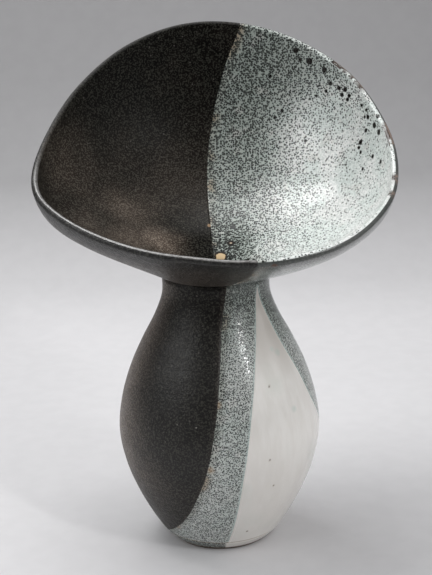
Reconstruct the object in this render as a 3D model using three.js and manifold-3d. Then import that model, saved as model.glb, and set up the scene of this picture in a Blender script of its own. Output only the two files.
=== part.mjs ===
// A thrown stoneware vase: an ovoid body on a turned foot, with a wide hood-shaped
// mouth luted on its neck, and three glazes that meet edge to edge all over it.
// Millimetres, +Z up. The origin is the middle of the foot, on the standing surface.
// The front, where the lip is lowest, faces -Y.
import * as THREE from 'three';
import { mergeVertices } from 'three/addons/utils/BufferGeometryUtils.js';
import Module from 'manifold-3d';

const wasm = await Module();
wasm.setup();

// Turned foot: a slab that flares up to the first groove
const footHeight = 9;
const footRadius = 38;
const footTopRadius = 45.2;
const footBevel = 1.4;

// Body: [height, radius] of the finished outline, as shares of the joint's height and of the
// largest radius, between the foot and the straight neck
const jointHeight = 200;
const bodyRadius = 73.7;
const neckRadius = 38.5;
const neckStraight = 14;
const neckSpread = 0.5;
const bodyBottomStep = 0.4;
const bodyStations = [
  [0.12, 0.737],
  [0.2, 0.844],
  [0.3, 0.944],
  [0.42, 1],
  [0.54, 0.963],
  [0.66, 0.863],
  [0.76, 0.738],
  [0.85, 0.609],
];
const bodyWall = 6.8;
const floorThickness = 6;
const floorCorner = 6;

// Slip that lutes the mouth to the neck
const slipThickness = 1.6;
const slipSetback = 1.2;

// Glaze coats, and the seam where one glaze meets the next
const coatThickness = 0.5;
const coatGap = 0.35;
const seamGap = 0.4;
const bareFootHeight = 1.8;
const footGrooveWidth = 1;
const creaseWidth = 1.6;

// Mouth: [azimuth, reach from the axis, rise above the joint] of the finished rim, as shares of
// its largest reach and of its largest rise
const mouthReach = 137.9;
const mouthRise = 166;
const rimStations = [
  [0, 0.945, 0.409],
  [20, 0.996, 0.573],
  [40, 1, 0.782],
  [60, 0.956, 0.928],
  [80, 0.928, 1],
  [100, 0.928, 1],
  [120, 0.941, 0.917],
  [140, 0.951, 0.759],
  [160, 0.951, 0.563],
  [175, 0.941, 0.437],
  [185, 0.911, 0.379],
  [200, 0.835, 0.319],
  [220, 0.735, 0.252],
  [240, 0.664, 0.205],
  [260, 0.634, 0.182],
  [280, 0.662, 0.168],
  [300, 0.735, 0.177],
  [320, 0.827, 0.225],
  [340, 0.893, 0.312],
];
const rimThickness = 5;
const mouthWallAtNeck = 7;
const shoulderRun = 14;

// How a section of the mouth leaves the neck, in degrees above level
const leaveAngleLeft = 31;
const leaveAngleRight = 15.8;

// How a section arrives at the rim, by the rim's rise there: [share of the largest rise, angle,
// first handle, last handle], with both handles as shares of the section's run
const sectionStations = [
  [0.169, 32, 0.33, 0.27],
  [0.301, 66, 0.46, 0.32],
  [0.422, 80.5, 0.65, 0.44],
  [0.602, 86, 0.75, 0.55],
  [1, 92, 0.95, 0.9],
];

// Borders of the glaze fields on the body: [share of the joint's height, azimuth], azimuth 0 on +X
// and -90 at the front
const darkTip = [0.055, -147];
const darkRightStations = [
  darkTip,
  [0.08, -136],
  [0.13, -122],
  [0.2, -111],
  [0.275, -104],
  [0.37, -98],
  [0.55, -92.3],
  [0.765, -88],
  [0.855, -86],
  [0.93, -82.3],
  [1, -78.6],
];
const darkLeftStations = [
  darkTip,
  [0.1, -166],
  [0.2, -184],
  [0.35, -200],
  [0.55, -215],
  [0.75, -228],
  [1, -240],
];
const whiteTip = [0.98, -41.2];
const whiteLeftStations = [
  [0, -87],
  [0.12, -81.6],
  [0.365, -77],
  [0.51, -73.4],
  [0.62, -69.4],
  [0.75, -62],
  [0.84, -53.6],
  [0.915, -46],
  whiteTip,
];
const whiteRightStations = [
  [0, 50],
  [0.1, 41],
  [0.2, 30],
  [0.3, 16],
  [0.435, -4.6],
  [0.555, -19],
  [0.675, -26],
  [0.765, -30.8],
  [0.88, -34.5],
  whiteTip,
];

// Borders between dark and speckled glaze on the mouth: [share of the way from neck to rim, azimuth]
const outsideFrontStations = [
  [0, -79],
  [0.16, -74.8],
  [0.33, -71.2],
  [0.6, -71.5],
  [1, -73],
];
const outsideBackStations = [
  [0, 120],
  [0.4, 96],
  [1, 79],
];
const insideFrontStations = [
  [0, -86],
  [0.4, -79],
  [1, -73],
];
const insideBackStations = [
  [0, 92.4],
  [0.34, 92.8],
  [0.59, 90],
  [0.82, 85],
  [1, 79],
];

// Fineness of the faceted surfaces
const bodyTurnSteps = 36;
const mouthTurnSteps = 48;
const sectionSteps = 8;
const rimSteps = 3;
const shoulderSteps = 3;
const bodyRowStep = 16;
const fieldRowStep = 8;
const fieldColumnStep = 8;

// How far the space of a field reaches past the finished side and past the underside of a coat,
// where a pointed field is cut off, and the rows just past the crease and just above the joint
const spaceAbove = 3;
const spaceBelow = 1.5;
const tipBluntness = 1.8;
const beforeCrease = -0.003;
const throatRow = -0.95;

const coatDepth = coatThickness + coatGap;
const bodyTop = jointHeight - slipThickness / 2;
const mouthBottom = jointHeight + slipThickness / 2;
const bodyBottomRadius = footTopRadius + bodyBottomStep;
const throatRadius = neckRadius - bodyWall;
const floorTop = footHeight + floorThickness;
const neckBottom = jointHeight - neckStraight;
const rimRadius = rimThickness / 2;
const radians = THREE.MathUtils.degToRad;
const lerp = THREE.MathUtils.lerp;

// Materials
const clay = new THREE.MeshStandardMaterial({ color: 0x8a6f57, roughness: 0.9, metalness: 0 });
const slip = new THREE.MeshStandardMaterial({ color: 0x5c4a3c, roughness: 0.95, metalness: 0 });
const darkGlaze = new THREE.MeshStandardMaterial({ color: 0x2b2724, roughness: 0.5, metalness: 0 });
const speckledGlaze = new THREE.MeshStandardMaterial({ color: 0xa9b3ad, roughness: 0.35, metalness: 0 });
const whiteGlaze = new THREE.MeshStandardMaterial({ color: 0xcbc6c1, roughness: 0.25, metalness: 0 });
const liningGlaze = new THREE.MeshStandardMaterial({ color: 0x3a332d, roughness: 0.4, metalness: 0 });

// A smooth line through stations [position, value, ...], which answers with all of the values
function smoothLine(stations) {
  const positions = stations.map((station) => station[0]);
  const values = stations.flatMap((station) => station.slice(1));
  const line = new THREE.CubicInterpolant(positions, values, stations[0].length - 1);
  return (position) => {
    const inside = THREE.MathUtils.clamp(position, positions[0], positions[positions.length - 1]);
    return Array.from(line.evaluate(inside));
  };
}

// Places spread evenly from one number to another, both included
function evenly(from, to, steps) {
  return Array.from({ length: steps + 1 }, (_, i) => lerp(from, to, i / steps));
}

// A point in the upright plane at an azimuth
function turned(azimuth, point) {
  const angle = radians(azimuth);
  return new THREE.Vector3(point.x * Math.cos(angle), point.x * Math.sin(angle), point.y);
}

// Finished outline of the body, from the foot to the straight neck
const bodyRadiusAt = smoothLine([
  [footHeight, bodyBottomRadius],
  ...bodyStations.map(([height, radius]) => [height * jointHeight, radius * bodyRadius]),
  [neckBottom, neckRadius + neckSpread],
  [jointHeight, neckRadius],
  [jointHeight + neckStraight, neckRadius],
]);

// A point of the body's outline, set in from the finished surface by a depth square to it
function bodyFace(height, depth) {
  const step = 0.5;
  const rise = new THREE.Vector2(bodyRadiusAt(height + step)[0] - bodyRadiusAt(height - step)[0], 2 * step);
  rise.normalize();
  return new THREE.Vector2(bodyRadiusAt(height)[0] - rise.y * depth, height + rise.x * depth);
}

// A point of the foot's flank, which flares evenly, set in by a depth square to it
function footFace(height, depth) {
  const flank = new THREE.Vector2(footTopRadius - footRadius, footHeight - footBevel);
  const share = (height - footBevel) / flank.y;
  const along = flank.clone().normalize();
  return new THREE.Vector2(footRadius + share * flank.x - along.y * depth, height + along.x * depth);
}

// Rim of the mouth, as one closed line of reach and rise round the azimuth
const rimAt = smoothLine([
  ...rimStations.slice(-2).map(([azimuth, ...shares]) => [azimuth - 360, ...shares]),
  ...rimStations,
  ...rimStations.slice(0, 2).map(([azimuth, ...shares]) => [azimuth + 360, ...shares]),
]);
const sectionAt = smoothLine(sectionStations);

// Section of the mouth at an azimuth, from the neck to one rim radius short of the rim
function mouthSection(azimuth) {
  const [reachShare, riseShare] = rimAt(THREE.MathUtils.euclideanModulo(azimuth, 360));
  const reach = reachShare * mouthReach;
  const leftness = (1 - Math.cos(radians(azimuth))) / 2;
  const leave = radians(lerp(leaveAngleRight, leaveAngleLeft, leftness));
  const [arriveDegrees, firstHandle, lastHandle] = sectionAt(riseShare);
  const arrive = radians(arriveDegrees);
  const leaving = new THREE.Vector2(Math.cos(leave), Math.sin(leave));
  const arriving = new THREE.Vector2(Math.cos(arrive), Math.sin(arrive));
  const start = new THREE.Vector2(neckRadius, jointHeight);
  const end = new THREE.Vector2(reach, jointHeight + riseShare * mouthRise);
  end.addScaledVector(arriving, -rimRadius);
  const span = reach - neckRadius;
  const first = start.clone().addScaledVector(leaving, firstHandle * span);
  const last = end.clone().addScaledVector(arriving, -lastHandle * span);
  return new THREE.CubicBezierCurve(start, first, last, end);
}

// Outward direction of a section, square to it on its lower and outer side
function outward(section, share) {
  const along = section.getTangentAt(share);
  return new THREE.Vector2(along.y, -along.x);
}

// Round edge of the rim, from the outer side at turn 0 over the crest to the inner side at turn 1
function rimFace(section, turn, depth) {
  const angle = Math.PI * turn;
  const radius = rimRadius - depth;
  return section
    .getPoint(1)
    .addScaledVector(outward(section, 1), Math.cos(angle) * radius - rimRadius)
    .addScaledVector(section.getTangentAt(1), Math.sin(angle) * radius);
}

// Outer face of the mouth: rows 0 to 1 run from the crease to the rim, and 1 to 2 over the rim
function outsideFace(azimuth, row, depth) {
  const section = mouthSection(azimuth);
  if (row > 1) {
    return rimFace(section, row - 1, depth);
  }
  const share = lerp(creaseWidth / 2 / section.getLength(), 1, row);
  return section.getPointAt(share).addScaledVector(outward(section, share), -depth);
}

// Inner face: rows -1 to 0 run up the throat's shoulder, 0 to 1 on to the rim, and 1 to 2 over it
function insideFace(azimuth, row, depth) {
  const section = mouthSection(azimuth);
  if (row > 1) {
    return rimFace(section, 2 - row, depth);
  }
  const shoulderShare = shoulderRun / section.getLength();
  const share = lerp(shoulderShare, 1, Math.max(row, 0));
  const wall = lerp(mouthWallAtNeck, rimThickness, share);
  const point = section.getPointAt(share).addScaledVector(outward(section, share), depth - wall);
  if (row >= 0) {
    return point;
  }
  const along = section.getTangentAt(share);
  const radius = throatRadius - coatDepth + depth;
  const bend = point.y - ((point.x - radius) * along.y) / along.x;
  const foot = new THREE.Vector2(radius, mouthBottom);
  return new THREE.QuadraticBezierCurve(foot, new THREE.Vector2(radius, bend), point).getPoint(row + 1);
}

// Closed skin over a row of loops with as many points each, where a wrapped row closes on itself.
// A loop runs up one side and, from its point turnBack, down the other, and the four-sided faces
// of both sides are split the same way, so that neighbouring skins stay parallel.
function loft(loops, turnBack, wrapped) {
  const size = loops[0].length;
  const faces = [];
  const quad = (a, b, c, d) => faces.push(a, b, c, a, c, d);
  const spans = wrapped ? loops.length : loops.length - 1;
  for (let row = 0; row < spans; row += 1) {
    const here = row * size;
    const there = ((row + 1) % loops.length) * size;
    for (let i = 0; i < size; i += 1) {
      const j = (i + 1) % size;
      const corners = [here + i, there + i, there + j, here + j];
      quad(...(i < turnBack ? corners : [...corners.slice(1), corners[0]]));
    }
  }
  const last = (loops.length - 1) * size;
  for (let i = 0; !wrapped && i < size / 2 - 1; i += 1) {
    const across = size - 1 - i;
    quad(i, i + 1, across - 1, across);
    quad(last + across, last + across - 1, last + i + 1, last + i);
  }
  const places = loops.flat().flatMap((point) => [...point]);
  const geometry = new THREE.BufferGeometry();
  geometry.setAttribute('position', new THREE.Float32BufferAttribute(places, 3));
  geometry.setIndex(faces);
  geometry.computeVertexNormals();
  return geometry;
}

// Solid of revolution about Z from an outline that runs anticlockwise in radius and height
function revolved(outline) {
  const lathe = new THREE.LatheGeometry(outline, bodyTurnSteps);
  lathe.rotateX(Math.PI / 2);
  lathe.deleteAttribute('normal');
  lathe.deleteAttribute('uv');
  const merged = mergeVertices(lathe, 1e-4);
  merged.computeVertexNormals();
  return merged;
}

// The part of one closed mesh that lies inside another
function common(first, second) {
  const [a, b] = [first, second].map(
    (geometry) =>
      new wasm.Manifold(
        new wasm.Mesh({
          numProp: 3,
          vertProperties: new Float32Array(geometry.getAttribute('position').array),
          triVerts: new Uint32Array(geometry.index.array),
        }),
      ),
  );
  const mesh = a.intersect(b).getMesh();
  const geometry = new THREE.BufferGeometry();
  geometry.setAttribute('position', new THREE.BufferAttribute(mesh.vertProperties, 3));
  geometry.setIndex(new THREE.BufferAttribute(mesh.triVerts, 1));
  geometry.computeVertexNormals();
  return geometry;
}

// A whole coat of glaze round the pot, with its finished side and its underside.
// The sides are two depths, and the first is on the side that faces away from the axis.
function wholeCoat(rows, face, turnSteps, [farDepth, nearDepth]) {
  const loops = evenly(0, 360, turnSteps)
    .slice(0, -1)
    .map((azimuth) => [
      ...rows.map((row) => turned(azimuth, face(azimuth, row, farDepth))),
      ...rows.map((row) => turned(azimuth, face(azimuth, row, nearDepth))).reverse(),
    ]);
  return loft(loops, rows.length - 1, true);
}

// The space of one field of glaze: rows run up the pot, columns run round it between two borders
function fieldSpace(rows, from, to, face, [farDepth, nearDepth]) {
  const widest = Math.max(...rows.map((row) => to(row) - from(row)));
  const columns = Math.max(2, Math.ceil(widest / fieldColumnStep));
  const pointAt = (column, row, depth) => {
    const halfSeam = THREE.MathUtils.radToDeg(seamGap / 2 / face(from(row), row, 0).x);
    const azimuth = lerp(from(row) + halfSeam, to(row) - halfSeam, column / columns);
    return turned(azimuth, face(azimuth, row, depth));
  };
  const loops = evenly(0, columns, columns).map((column) => [
    ...rows.map((row) => pointAt(column, row, farDepth)),
    ...rows.map((row) => pointAt(column, row, nearDepth)).reverse(),
  ]);
  return loft(loops, rows.length - 1, false);
}

const vase = new THREE.Group();
function add(name, geometry, material) {
  const mesh = new THREE.Mesh(geometry, material);
  mesh.name = name;
  vase.add(mesh);
}

// Foot: a slab turned flat underneath, with a flaring flank
function turnedFoot() {
  return revolved([
    new THREE.Vector2(0, 0),
    new THREE.Vector2(footRadius - coatDepth - footBevel, 0),
    footFace(footBevel, coatDepth),
    new THREE.Vector2(footTopRadius - coatDepth, footHeight),
    new THREE.Vector2(0, footHeight),
  ]);
}

// Foot glaze: a narrow band round the flank, short of the standing surface
function footGlazeBand() {
  const ends = [bareFootHeight, footHeight - footGrooveWidth];
  const finished = ends.map((height) => footFace(height, 0));
  const under = ends.map((height) => footFace(height, coatThickness)).reverse();
  return revolved([...finished, ...under, finished[0]]);
}

// Rows of the body's faces, from the groove over the foot to the crease under the mouth
const bodyCoatBottom = footHeight + footGrooveWidth;
const bodyCoatTop = jointHeight - creaseWidth / 2;
const bodyRowSteps = Math.round((bodyCoatTop - bodyCoatBottom) / bodyRowStep);
const bodyRows = evenly(bodyCoatBottom, bodyCoatTop, bodyRowSteps);
const cavityRows = bodyRows.filter((row) => row > floorTop + floorCorner && row < neckBottom);

// A line down the cavity from the throat to the middle of the floor, lined with a depth of glaze
function cavityLine(top, depth) {
  const wall = [...cavityRows].reverse().map((row) => bodyFace(row, bodyWall + depth));
  const corner = wall[wall.length - 1].x - floorCorner;
  return [
    new THREE.Vector2(throatRadius - depth, top),
    ...wall,
    new THREE.Vector2(corner, floorTop + depth),
    new THREE.Vector2(0, floorTop + depth),
  ];
}

// Body: a thrown wall of even thickness on a closed floor
function bodyWallClay() {
  return revolved([
    new THREE.Vector2(0, footHeight),
    new THREE.Vector2(footTopRadius - coatDepth, footHeight),
    ...bodyRows.slice(0, -1).map((row) => bodyFace(row, coatDepth)),
    new THREE.Vector2(neckRadius - coatDepth, bodyTop),
    ...cavityLine(bodyTop, 0),
  ]);
}

// Lining: glaze poured inside, a cup that follows the cavity
function bodyLining() {
  const rim = bodyTop - coatGap;
  return revolved([...cavityLine(rim, coatGap).reverse(), ...cavityLine(rim, coatDepth)]);
}

// Slip: a flat ring between neck and mouth, set back from both faces
function slipJoint() {
  const outer = neckRadius - coatDepth - slipSetback;
  return revolved([
    new THREE.Vector2(throatRadius, bodyTop),
    new THREE.Vector2(outer, bodyTop),
    new THREE.Vector2(outer, mouthBottom),
    new THREE.Vector2(throatRadius, mouthBottom),
    new THREE.Vector2(throatRadius, bodyTop),
  ]);
}

// Rows of the mouth's faces, shared by the clay and its glaze; the rim's crest is halfway over its edge
const crest = 1.5;
const risingRows = evenly(0, 1, sectionSteps);
const edgeRows = evenly(1, crest, rimSteps).slice(1);
const shoulderRows = evenly(-1, 0, shoulderSteps).slice(0, -1);

// Mouth: its whole section at each azimuth, from the neck over the rim and back to the throat
function mouthClay() {
  const upRows = [...risingRows.slice(1), ...edgeRows];
  const downRows = [...shoulderRows, ...risingRows, ...edgeRows.slice(0, -1)].reverse();
  const loops = evenly(0, 360, mouthTurnSteps)
    .slice(0, -1)
    .map((azimuth) => [
      turned(azimuth, new THREE.Vector2(neckRadius - coatDepth, mouthBottom)),
      ...upRows.map((row) => turned(azimuth, outsideFace(azimuth, row, coatDepth))),
      ...downRows.map((row) => turned(azimuth, insideFace(azimuth, row, coatDepth))),
    ]);
  return loft(loops, sectionSteps + rimSteps, true);
}

// A border between two fields of glaze: its azimuth at a row, turned by whole turns where asked
const border = (stations, turn = 0) => {
  const line = smoothLine(stations);
  return (row) => line(row)[0] + turn;
};
const bodyBorder = (stations, turn = 0) => {
  const line = border(stations, turn);
  return (height) => line(height / jointHeight);
};

// Depths of the outward and of the inward side of a coat, and of the space that cuts a field from it
const outwardCoat = [0, coatThickness];
const outwardSpace = [-spaceAbove, coatThickness + spaceBelow];
const inwardCoat = [coatThickness, 0];
const inwardSpace = [coatThickness + spaceBelow, -spaceAbove];

add('turned_foot', turnedFoot(), clay);
add('body_wall', bodyWallClay(), clay);
add('slip_joint', slipJoint(), slip);
add('mouth_bowl', mouthClay(), clay);
add('foot_glaze_band', footGlazeBand(), whiteGlaze);
add('body_lining', bodyLining(), liningGlaze);

// Fields of glaze on the body, cut from one coat; a field that comes to a tip starts or ends there
const bodyCoatFace = (azimuth, row, depth) => bodyFace(row, depth);
const bodyCoat = wholeCoat(bodyRows, bodyCoatFace, bodyTurnSteps, outwardCoat);
const belowCoat = bodyCoatBottom - tipBluntness;
const aboveCoat = bodyCoatTop + tipBluntness;
function addBodyField(name, [lowest, highest], from, to, material) {
  const rows = evenly(lowest, highest, Math.round((highest - lowest) / fieldRowStep));
  add(name, common(bodyCoat, fieldSpace(rows, from, to, bodyCoatFace, outwardSpace)), material);
}
const darkSpan = [darkTip[0] * jointHeight + tipBluntness, aboveCoat];
const wholeSpan = [belowCoat, aboveCoat];
const whiteSpan = [belowCoat, whiteTip[0] * jointHeight - tipBluntness];
const darkLeft = bodyBorder(darkLeftStations);
const darkRight = bodyBorder(darkRightStations);
const whiteLeft = bodyBorder(whiteLeftStations);
const whiteRight = bodyBorder(whiteRightStations);
addBodyField('body_dark_glaze', darkSpan, darkLeft, darkRight, darkGlaze);
addBodyField('body_speckled_front_band', wholeSpan, darkRight, whiteLeft, speckledGlaze);
addBodyField('body_white_glaze', whiteSpan, whiteLeft, whiteRight, whiteGlaze);
addBodyField('body_speckled_back', wholeSpan, whiteRight, bodyBorder(darkLeftStations, 360), speckledGlaze);

// Fields of glaze on the mouth, outside and inside, which part at the crest of the rim
const seamShare = seamGap / 2 / (Math.PI * rimRadius);
const coatEdgeRows = [...edgeRows.slice(0, -1), crest - seamShare];
const outsideRows = [...risingRows, ...coatEdgeRows];
const insideRows = [throatRow, ...shoulderRows.slice(1), ...risingRows, ...coatEdgeRows];
const outsideCoat = wholeCoat(outsideRows, outsideFace, mouthTurnSteps, outwardCoat);
const insideCoat = wholeCoat(insideRows, insideFace, mouthTurnSteps, inwardCoat);
const pastCrest = crest + seamShare;
function addOutsideField(name, from, to, material) {
  const space = fieldSpace([beforeCrease, ...outsideRows, pastCrest], from, to, outsideFace, outwardSpace);
  add(name, common(outsideCoat, space), material);
}
function addInsideField(name, from, to, material) {
  const space = fieldSpace([-1, ...insideRows, pastCrest], from, to, insideFace, inwardSpace);
  add(name, common(insideCoat, space), material);
}
const outsideFront = border(outsideFrontStations);
const outsideBack = border(outsideBackStations);
const insideFront = border(insideFrontStations);
const insideBack = border(insideBackStations);
addOutsideField('mouth_outside_dark_glaze', border(outsideBackStations, -360), outsideFront, darkGlaze);
addOutsideField('mouth_outside_speckled_glaze', outsideFront, outsideBack, speckledGlaze);
addInsideField('mouth_inside_dark_glaze', border(insideBackStations, -360), insideFront, darkGlaze);
addInsideField('mouth_inside_speckled_glaze', insideFront, insideBack, speckledGlaze);

export default vase;
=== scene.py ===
import math

import bmesh
import bpy
import numpy as np
from mathutils import Matrix, Vector


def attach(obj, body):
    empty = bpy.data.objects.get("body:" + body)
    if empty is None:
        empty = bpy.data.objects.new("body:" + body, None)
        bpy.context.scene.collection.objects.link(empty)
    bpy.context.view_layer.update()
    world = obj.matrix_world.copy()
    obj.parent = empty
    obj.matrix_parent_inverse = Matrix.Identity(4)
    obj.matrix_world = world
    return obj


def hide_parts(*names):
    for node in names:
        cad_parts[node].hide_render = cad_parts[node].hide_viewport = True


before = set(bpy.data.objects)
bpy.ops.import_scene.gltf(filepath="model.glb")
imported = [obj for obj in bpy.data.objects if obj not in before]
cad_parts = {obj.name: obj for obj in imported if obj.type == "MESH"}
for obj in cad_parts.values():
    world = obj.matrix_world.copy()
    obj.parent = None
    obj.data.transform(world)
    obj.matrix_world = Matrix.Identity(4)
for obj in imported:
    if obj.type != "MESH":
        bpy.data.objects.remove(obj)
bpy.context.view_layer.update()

# Sizes are in millimetres, and each mesh is brought to metres as it is made. Materials and
# lights are in metres, apart from the distances to a border that a mesh holds for its material.
# Azimuths are in degrees: 0 on +X, at the right of the vase, and -90 at its front.
MM = 0.001


# Camera: it looks down on the vase from about a metre away and leans a little, as one
# held by hand does. Its focal length is known in pixels of the photograph's frame.
frame_height_px = 575
focal_px = 1250
sensor_size = 36
camera_pitch = math.radians(16)
camera_roll = math.radians(1.45)
camera_distance = 898
aim_height = 188.6

camera_data = bpy.data.cameras.new("camera")
camera_data.sensor_width = sensor_size
camera_data.lens = focal_px / frame_height_px * sensor_size
camera = bpy.data.objects.new("camera", camera_data)
towards_camera = Vector((0, -math.cos(camera_pitch), math.sin(camera_pitch)))
place = Vector((0, 0, aim_height)) + towards_camera * camera_distance
turn = Matrix.Rotation(math.pi / 2 - camera_pitch, 4, "X") @ Matrix.Rotation(-camera_roll, 4, "Z")
camera.matrix_world = Matrix.Translation(place * MM) @ turn
bpy.context.collection.objects.link(camera)
bpy.context.scene.camera = camera
bpy.context.scene.view_settings.view_transform = "Standard"


# Paper sweep: one sheet of pale paper that lies flat under the vase and curves up behind
# it, where its grey falls off from nearly white to mid grey as painted shade.
sweep_width = 9000
sweep_front = -3500
sweep_bend_start = 420
sweep_bend_radius = 420
sweep_top = 2600
sweep_colour = (0.72, 0.71, 0.7)

# Height in metres, and the grey of the painted shade there
sweep_shade_greys = [(0, 0.72), (0.03, 0.58), (0.13, 0.35), (0.25, 0.31), (0.5, 0.32)]


def set_socket(tree, socket, value):
    """Links a socket to another one, or gives it a value."""
    if isinstance(value, bpy.types.NodeSocket):
        tree.links.new(value, socket)
    else:
        socket.default_value = value


def feed(tree, node, **inputs):
    """Sets or links a node's inputs by name (spaces as _)."""
    for name, value in inputs.items():
        set_socket(tree, node.inputs[name.replace("_", " ")], value)


def add_node(tree, kind, settings=(), **inputs):
    """Adds a node, gives it its settings and feeds its inputs."""
    made = tree.nodes.new(kind)
    for name, value in dict(settings).items():
        setattr(made, name, value)
    feed(tree, made, **inputs)
    return made


def ramp(tree, value, low, high, to_low=0.0, to_high=1.0, smooth=True):
    """Maps a value from one range to another, held at its ends."""
    kind = {"interpolation_type": "SMOOTHSTEP" if smooth else "LINEAR"}
    made = add_node(tree, "ShaderNodeMapRange", kind, Value=value)
    feed(tree, made, From_Min=low, From_Max=high, To_Min=to_low, To_Max=to_high)
    return made.outputs["Result"]


def arithmetic(tree, operation, first, second=0.0):
    """One sum on two numbers or sockets."""
    made = add_node(tree, "ShaderNodeMath", {"operation": operation})
    for socket, value in zip(made.inputs, (first, second)):
        set_socket(tree, socket, value)
    return made.outputs[0]


def times(tree, first, second):
    """Multiplies two numbers or sockets."""
    return arithmetic(tree, "MULTIPLY", first, second)


def plus(tree, first, second):
    """Adds two numbers or sockets."""
    return arithmetic(tree, "ADD", first, second)


def blend_colours(tree, share, first, second, blend="MIX"):
    """Goes from the first colour to the second as the share goes from 0 to 1."""
    made = add_node(tree, "ShaderNodeMix", {"data_type": "RGBA", "blend_type": blend}, Factor=share)

    # The node has an A and a B for each kind of value. Those for colours are 6 and 7
    for number, colour in ((6, first), (7, second)):
        linked = isinstance(colour, bpy.types.NodeSocket)
        set_socket(tree, made.inputs[number], colour if linked else (*colour, 1))
    return made.outputs[2]


def noise(tree, where, scale, detail=2.0, roughness=0.5):
    """Smooth noise from 0 to 1 at a scale in waves to the metre."""
    values = {"Vector": where, "Scale": scale, "Detail": detail, "Roughness": roughness}
    return add_node(tree, "ShaderNodeTexNoise", **values).outputs["Fac"]


def object_place(tree):
    """The place on the object."""
    return add_node(tree, "ShaderNodeTexCoord").outputs["Object"]


def axis_of(tree, where, axis):
    """A place's X, Y or Z."""
    return add_node(tree, "ShaderNodeSeparateXYZ", Vector=where).outputs[axis]


def new_material(name, colour):
    """A material with one Principled shader, and the colour that a plain view shows."""
    material = bpy.data.materials.new(name)
    material.use_nodes = True
    material.diffuse_color = (*colour, 1)
    return material, material.node_tree, material.node_tree.nodes["Principled BSDF"]


def sweep_paper():
    """Matt paper, whose grey follows its height up the backdrop as painted shade."""
    material, tree, shader = new_material("sweep_paper", sweep_colour)
    where = object_place(tree)
    fibre = ramp(tree, noise(tree, where, 60, 4), 0.3, 0.7, 0.985, 1.015)
    # Painted shade: the paper greys with its height up the backdrop
    shade_fall = add_node(tree, "ShaderNodeValToRGB", Fac=axis_of(tree, where, "Z"))
    stops = shade_fall.color_ramp.elements
    for number, (height, grey) in enumerate(sweep_shade_greys):
        stop = stops[number] if number < 2 else stops.new(height)
        stop.position = height
        stop.color = (grey, grey * 0.99, grey * 1.005, 1)

    # The near end of the sheet looks pale but throws little light on the vase
    watched = add_node(tree, "ShaderNodeLightPath").outputs["Is Camera Ray"]
    dimmed = ramp(tree, axis_of(tree, where, "Y"), -1.0, -0.5, 0.08, 1)
    shade = times(tree, fibre, arithmetic(tree, "MAXIMUM", dimmed, watched))
    paper = blend_colours(tree, 1.0, shade_fall.outputs["Color"], shade, "MULTIPLY")
    feed(tree, shader, Base_Color=paper, Roughness=0.95, Specular_IOR_Level=0.1)

    # A camera that stands behind the paper sees through it
    behind = add_node(tree, "ShaderNodeNewGeometry").outputs["Backfacing"]
    open_side = add_node(tree, "ShaderNodeMixShader", Fac=times(tree, behind, watched))
    clear = add_node(tree, "ShaderNodeBsdfTransparent")
    set_socket(tree, open_side.inputs[1], shader.outputs[0])
    set_socket(tree, open_side.inputs[2], clear.outputs[0])
    feed(tree, tree.nodes["Material Output"], Surface=open_side.outputs[0])
    return material


bend = [
    (sweep_bend_start + sweep_bend_radius * math.sin(angle), sweep_bend_radius * (1 - math.cos(angle)))
    for angle in np.linspace(0, math.pi / 2, 33)
]
sweep_line = [(sweep_front, 0), *bend, (sweep_bend_start + sweep_bend_radius, sweep_top)]
sweep_mesh = bmesh.new()
corners = [sweep_mesh.verts.new((-sweep_width / 2 * MM, along * MM, up * MM)) for along, up in sweep_line]
edges = [sweep_mesh.edges.new(pair) for pair in zip(corners, corners[1:])]
pulled = bmesh.ops.extrude_edge_only(sweep_mesh, edges=edges)["geom"]
far_side = [part for part in pulled if isinstance(part, bmesh.types.BMVert)]
bmesh.ops.translate(sweep_mesh, verts=far_side, vec=(sweep_width * MM, 0, 0))
for face in sweep_mesh.faces:
    face.smooth = True
sweep_data = bpy.data.meshes.new("paper_sweep")
sweep_mesh.to_mesh(sweep_data)
sweep_mesh.free()
sweep_data.materials.append(sweep_paper())
sweep = bpy.data.objects.new("paper_sweep", sweep_data)
bpy.context.collection.objects.link(sweep)


# Light: broad soft lights overhead and at both sides, two small ones in front, of which the
# narrow one at the right draws the bright lines down the glaze, and an even pale room.
def soft_light(name, place, aim, size, power):
    """A rectangular soft light at a place, turned towards another. Places are in metres."""
    data = bpy.data.lights.new(name, "AREA")
    data.shape = "RECTANGLE"
    data.size, data.size_y = size
    data.energy = power
    light = bpy.data.objects.new(name, data)
    facing = (Vector(aim) - Vector(place)).to_track_quat("-Z", "Y")
    light.matrix_world = Matrix.Translation(place) @ facing.to_matrix().to_4x4()
    bpy.context.collection.objects.link(light)


room_light, room_seen = 0.14, 0.35
soft_light("overhead_light", (-0.3, 0.3, 1.3), (0, 0, 0.1), (0.9, 0.8), 12.5)
soft_light("left_light", (-1.5, -0.5, 1.2), (0, 0, 0.12), (1.3, 1.3), 8.6)
soft_light("right_light", (1.45, -0.7, 1.2), (0, 0, 0.12), (2.1, 1.9), 12)
soft_light("front_left_light", (-1.11, -0.96, 0.9), (0, 0, 0.15), (0.45, 0.45), 1.8)
soft_light("front_right_light", (1.01, -1.05, 1.11), (0, 0, 0.16), (0.11, 0.4), 5.5)
room = bpy.data.worlds.new("room")
room.use_nodes = True
watched = add_node(room.node_tree, "ShaderNodeLightPath").outputs["Is Camera Ray"]
feed(
    room.node_tree,
    room.node_tree.nodes["Background"],
    Color=(0.92, 0.95, 1.0, 1),
    Strength=ramp(room.node_tree, watched, 0, 1, room_light, room_seen),
)
bpy.context.scene.world = room


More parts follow.
